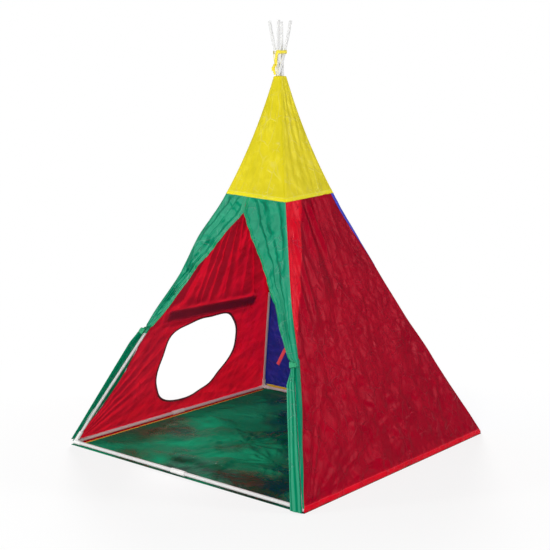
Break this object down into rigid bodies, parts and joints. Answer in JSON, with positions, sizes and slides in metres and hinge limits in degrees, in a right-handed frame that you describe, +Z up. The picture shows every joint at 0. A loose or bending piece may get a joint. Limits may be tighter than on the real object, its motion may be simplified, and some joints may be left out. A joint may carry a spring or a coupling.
{
  "type": "teepee play tent",
  "caption": "Square teepee play tent for a child: a tube frame with a fabric cover, a tied-back door, a round window and a groundsheet.",
  "frame": {"origin": "on the floor, under the middle of the square base", "axes": "+Z up to the pole tips; the door faces -Y and the window is in the wall at -X"},
  "size_m": [1.0226, 1.0357, 1.4302],
  "materials": {
    "white_tube": "smooth white tube",
    "white_joint": "moulded white joint",
    "ferrule": "grey spigot",
    "red_cloth": "thin woven polyester",
    "green_cloth": "thin woven polyester",
    "blue_cloth": "thin woven polyester",
    "yellow_cloth": "thin woven polyester",
    "groundsheet": "coated, glossy and creased"
  },
  "bodies": {
    "tent": {"corner_front_left": "white_joint", "corner_front_right": "white_joint", "corner_back_right": "white_joint", "corner_back_left": "white_joint", "base_tube_front_left": "white_tube", "base_tube_front_right": "white_tube", "base_tube_right_front": "white_tube", "base_tube_right_back": "white_tube", "base_tube_back_right": "white_tube", "base_tube_back_left": "white_tube", "base_tube_left_back": "white_tube", "base_tube_left_front": "white_tube", "base_coupler_front": "white_joint", "base_coupler_right": "white_joint", "base_coupler_back": "white_joint", "base_coupler_left": "white_joint", "pole_front_left_lower": "white_tube", "pole_front_left_middle": "white_tube", "pole_front_left_upper": "white_tube", "pole_front_right_lower": "white_tube", "pole_front_right_middle": "white_tube", "pole_front_right_upper": "white_tube", "pole_back_right_lower": "white_tube", "pole_back_right_middle": "white_tube", "pole_back_right_upper": "white_tube", "pole_back_left_lower": "white_tube", "pole_back_left_middle": "white_tube", "pole_back_left_upper": "white_tube", "pole_ferrule_front_left_lower": "ferrule", "pole_ferrule_front_left_middle": "ferrule", "pole_ferrule_front_right_lower": "ferrule", "pole_ferrule_front_right_middle": "ferrule", "pole_ferrule_back_right_lower": "ferrule", "pole_ferrule_back_right_middle": "ferrule", "pole_ferrule_back_left_lower": "ferrule", "pole_ferrule_back_left_middle": "ferrule", "pole_sleeve_front_left": "green_cloth", "pole_sleeve_front_right": "red_cloth", "pole_sleeve_back_right": "red_cloth", "pole_sleeve_back_left": "red_cloth", "left_wall": "red_cloth", "right_wall": "red_cloth", "back_wall": "blue_cloth", "front_flap_left": "green_cloth", "front_flap_right": "green_cloth", "left_flap_tie": "green_cloth", "right_flap_tie": "green_cloth", "cap_front": "yellow_cloth", "cap_right": "yellow_cloth", "cap_back": "yellow_cloth", "cap_left": "yellow_cloth", "groundsheet": "groundsheet", "groundsheet_binding": "yellow_cloth", "top_ribbon": "yellow_cloth", "right_tie_tail": "red_cloth"},
    "left_flap_tail": {"left_flap_tail": "green_cloth"},
    "right_flap_tail": {"right_flap_tail": "green_cloth"},
    "window_flap": {"window_flap": "red_cloth", "window_tie_front": "red_cloth", "window_tie_back": "red_cloth"}
  },
  "joints": [
    {"name": "left_flap_swing", "type": "hinge", "parent": "tent", "child": "left_flap_tail", "pos_m": [-0.511, -0.51565, 0.00943], "axis": [0.386, 0.3898, 0.8361], "range_deg": [-110, 115]},
    {"name": "right_flap_swing", "type": "hinge", "parent": "tent", "child": "right_flap_tail", "pos_m": [0.504, -0.51565, 0.00943], "axis": [-0.3859, 0.3899, 0.8361], "range_deg": [0, 180]},
    {"name": "window_flap_lift", "type": "hinge", "parent": "tent", "child": "window_flap", "pos_m": [-0.30749, 0.007, 0.44822], "axis": [0, 1, 0], "range_deg": [0, 112]}
  ]
}
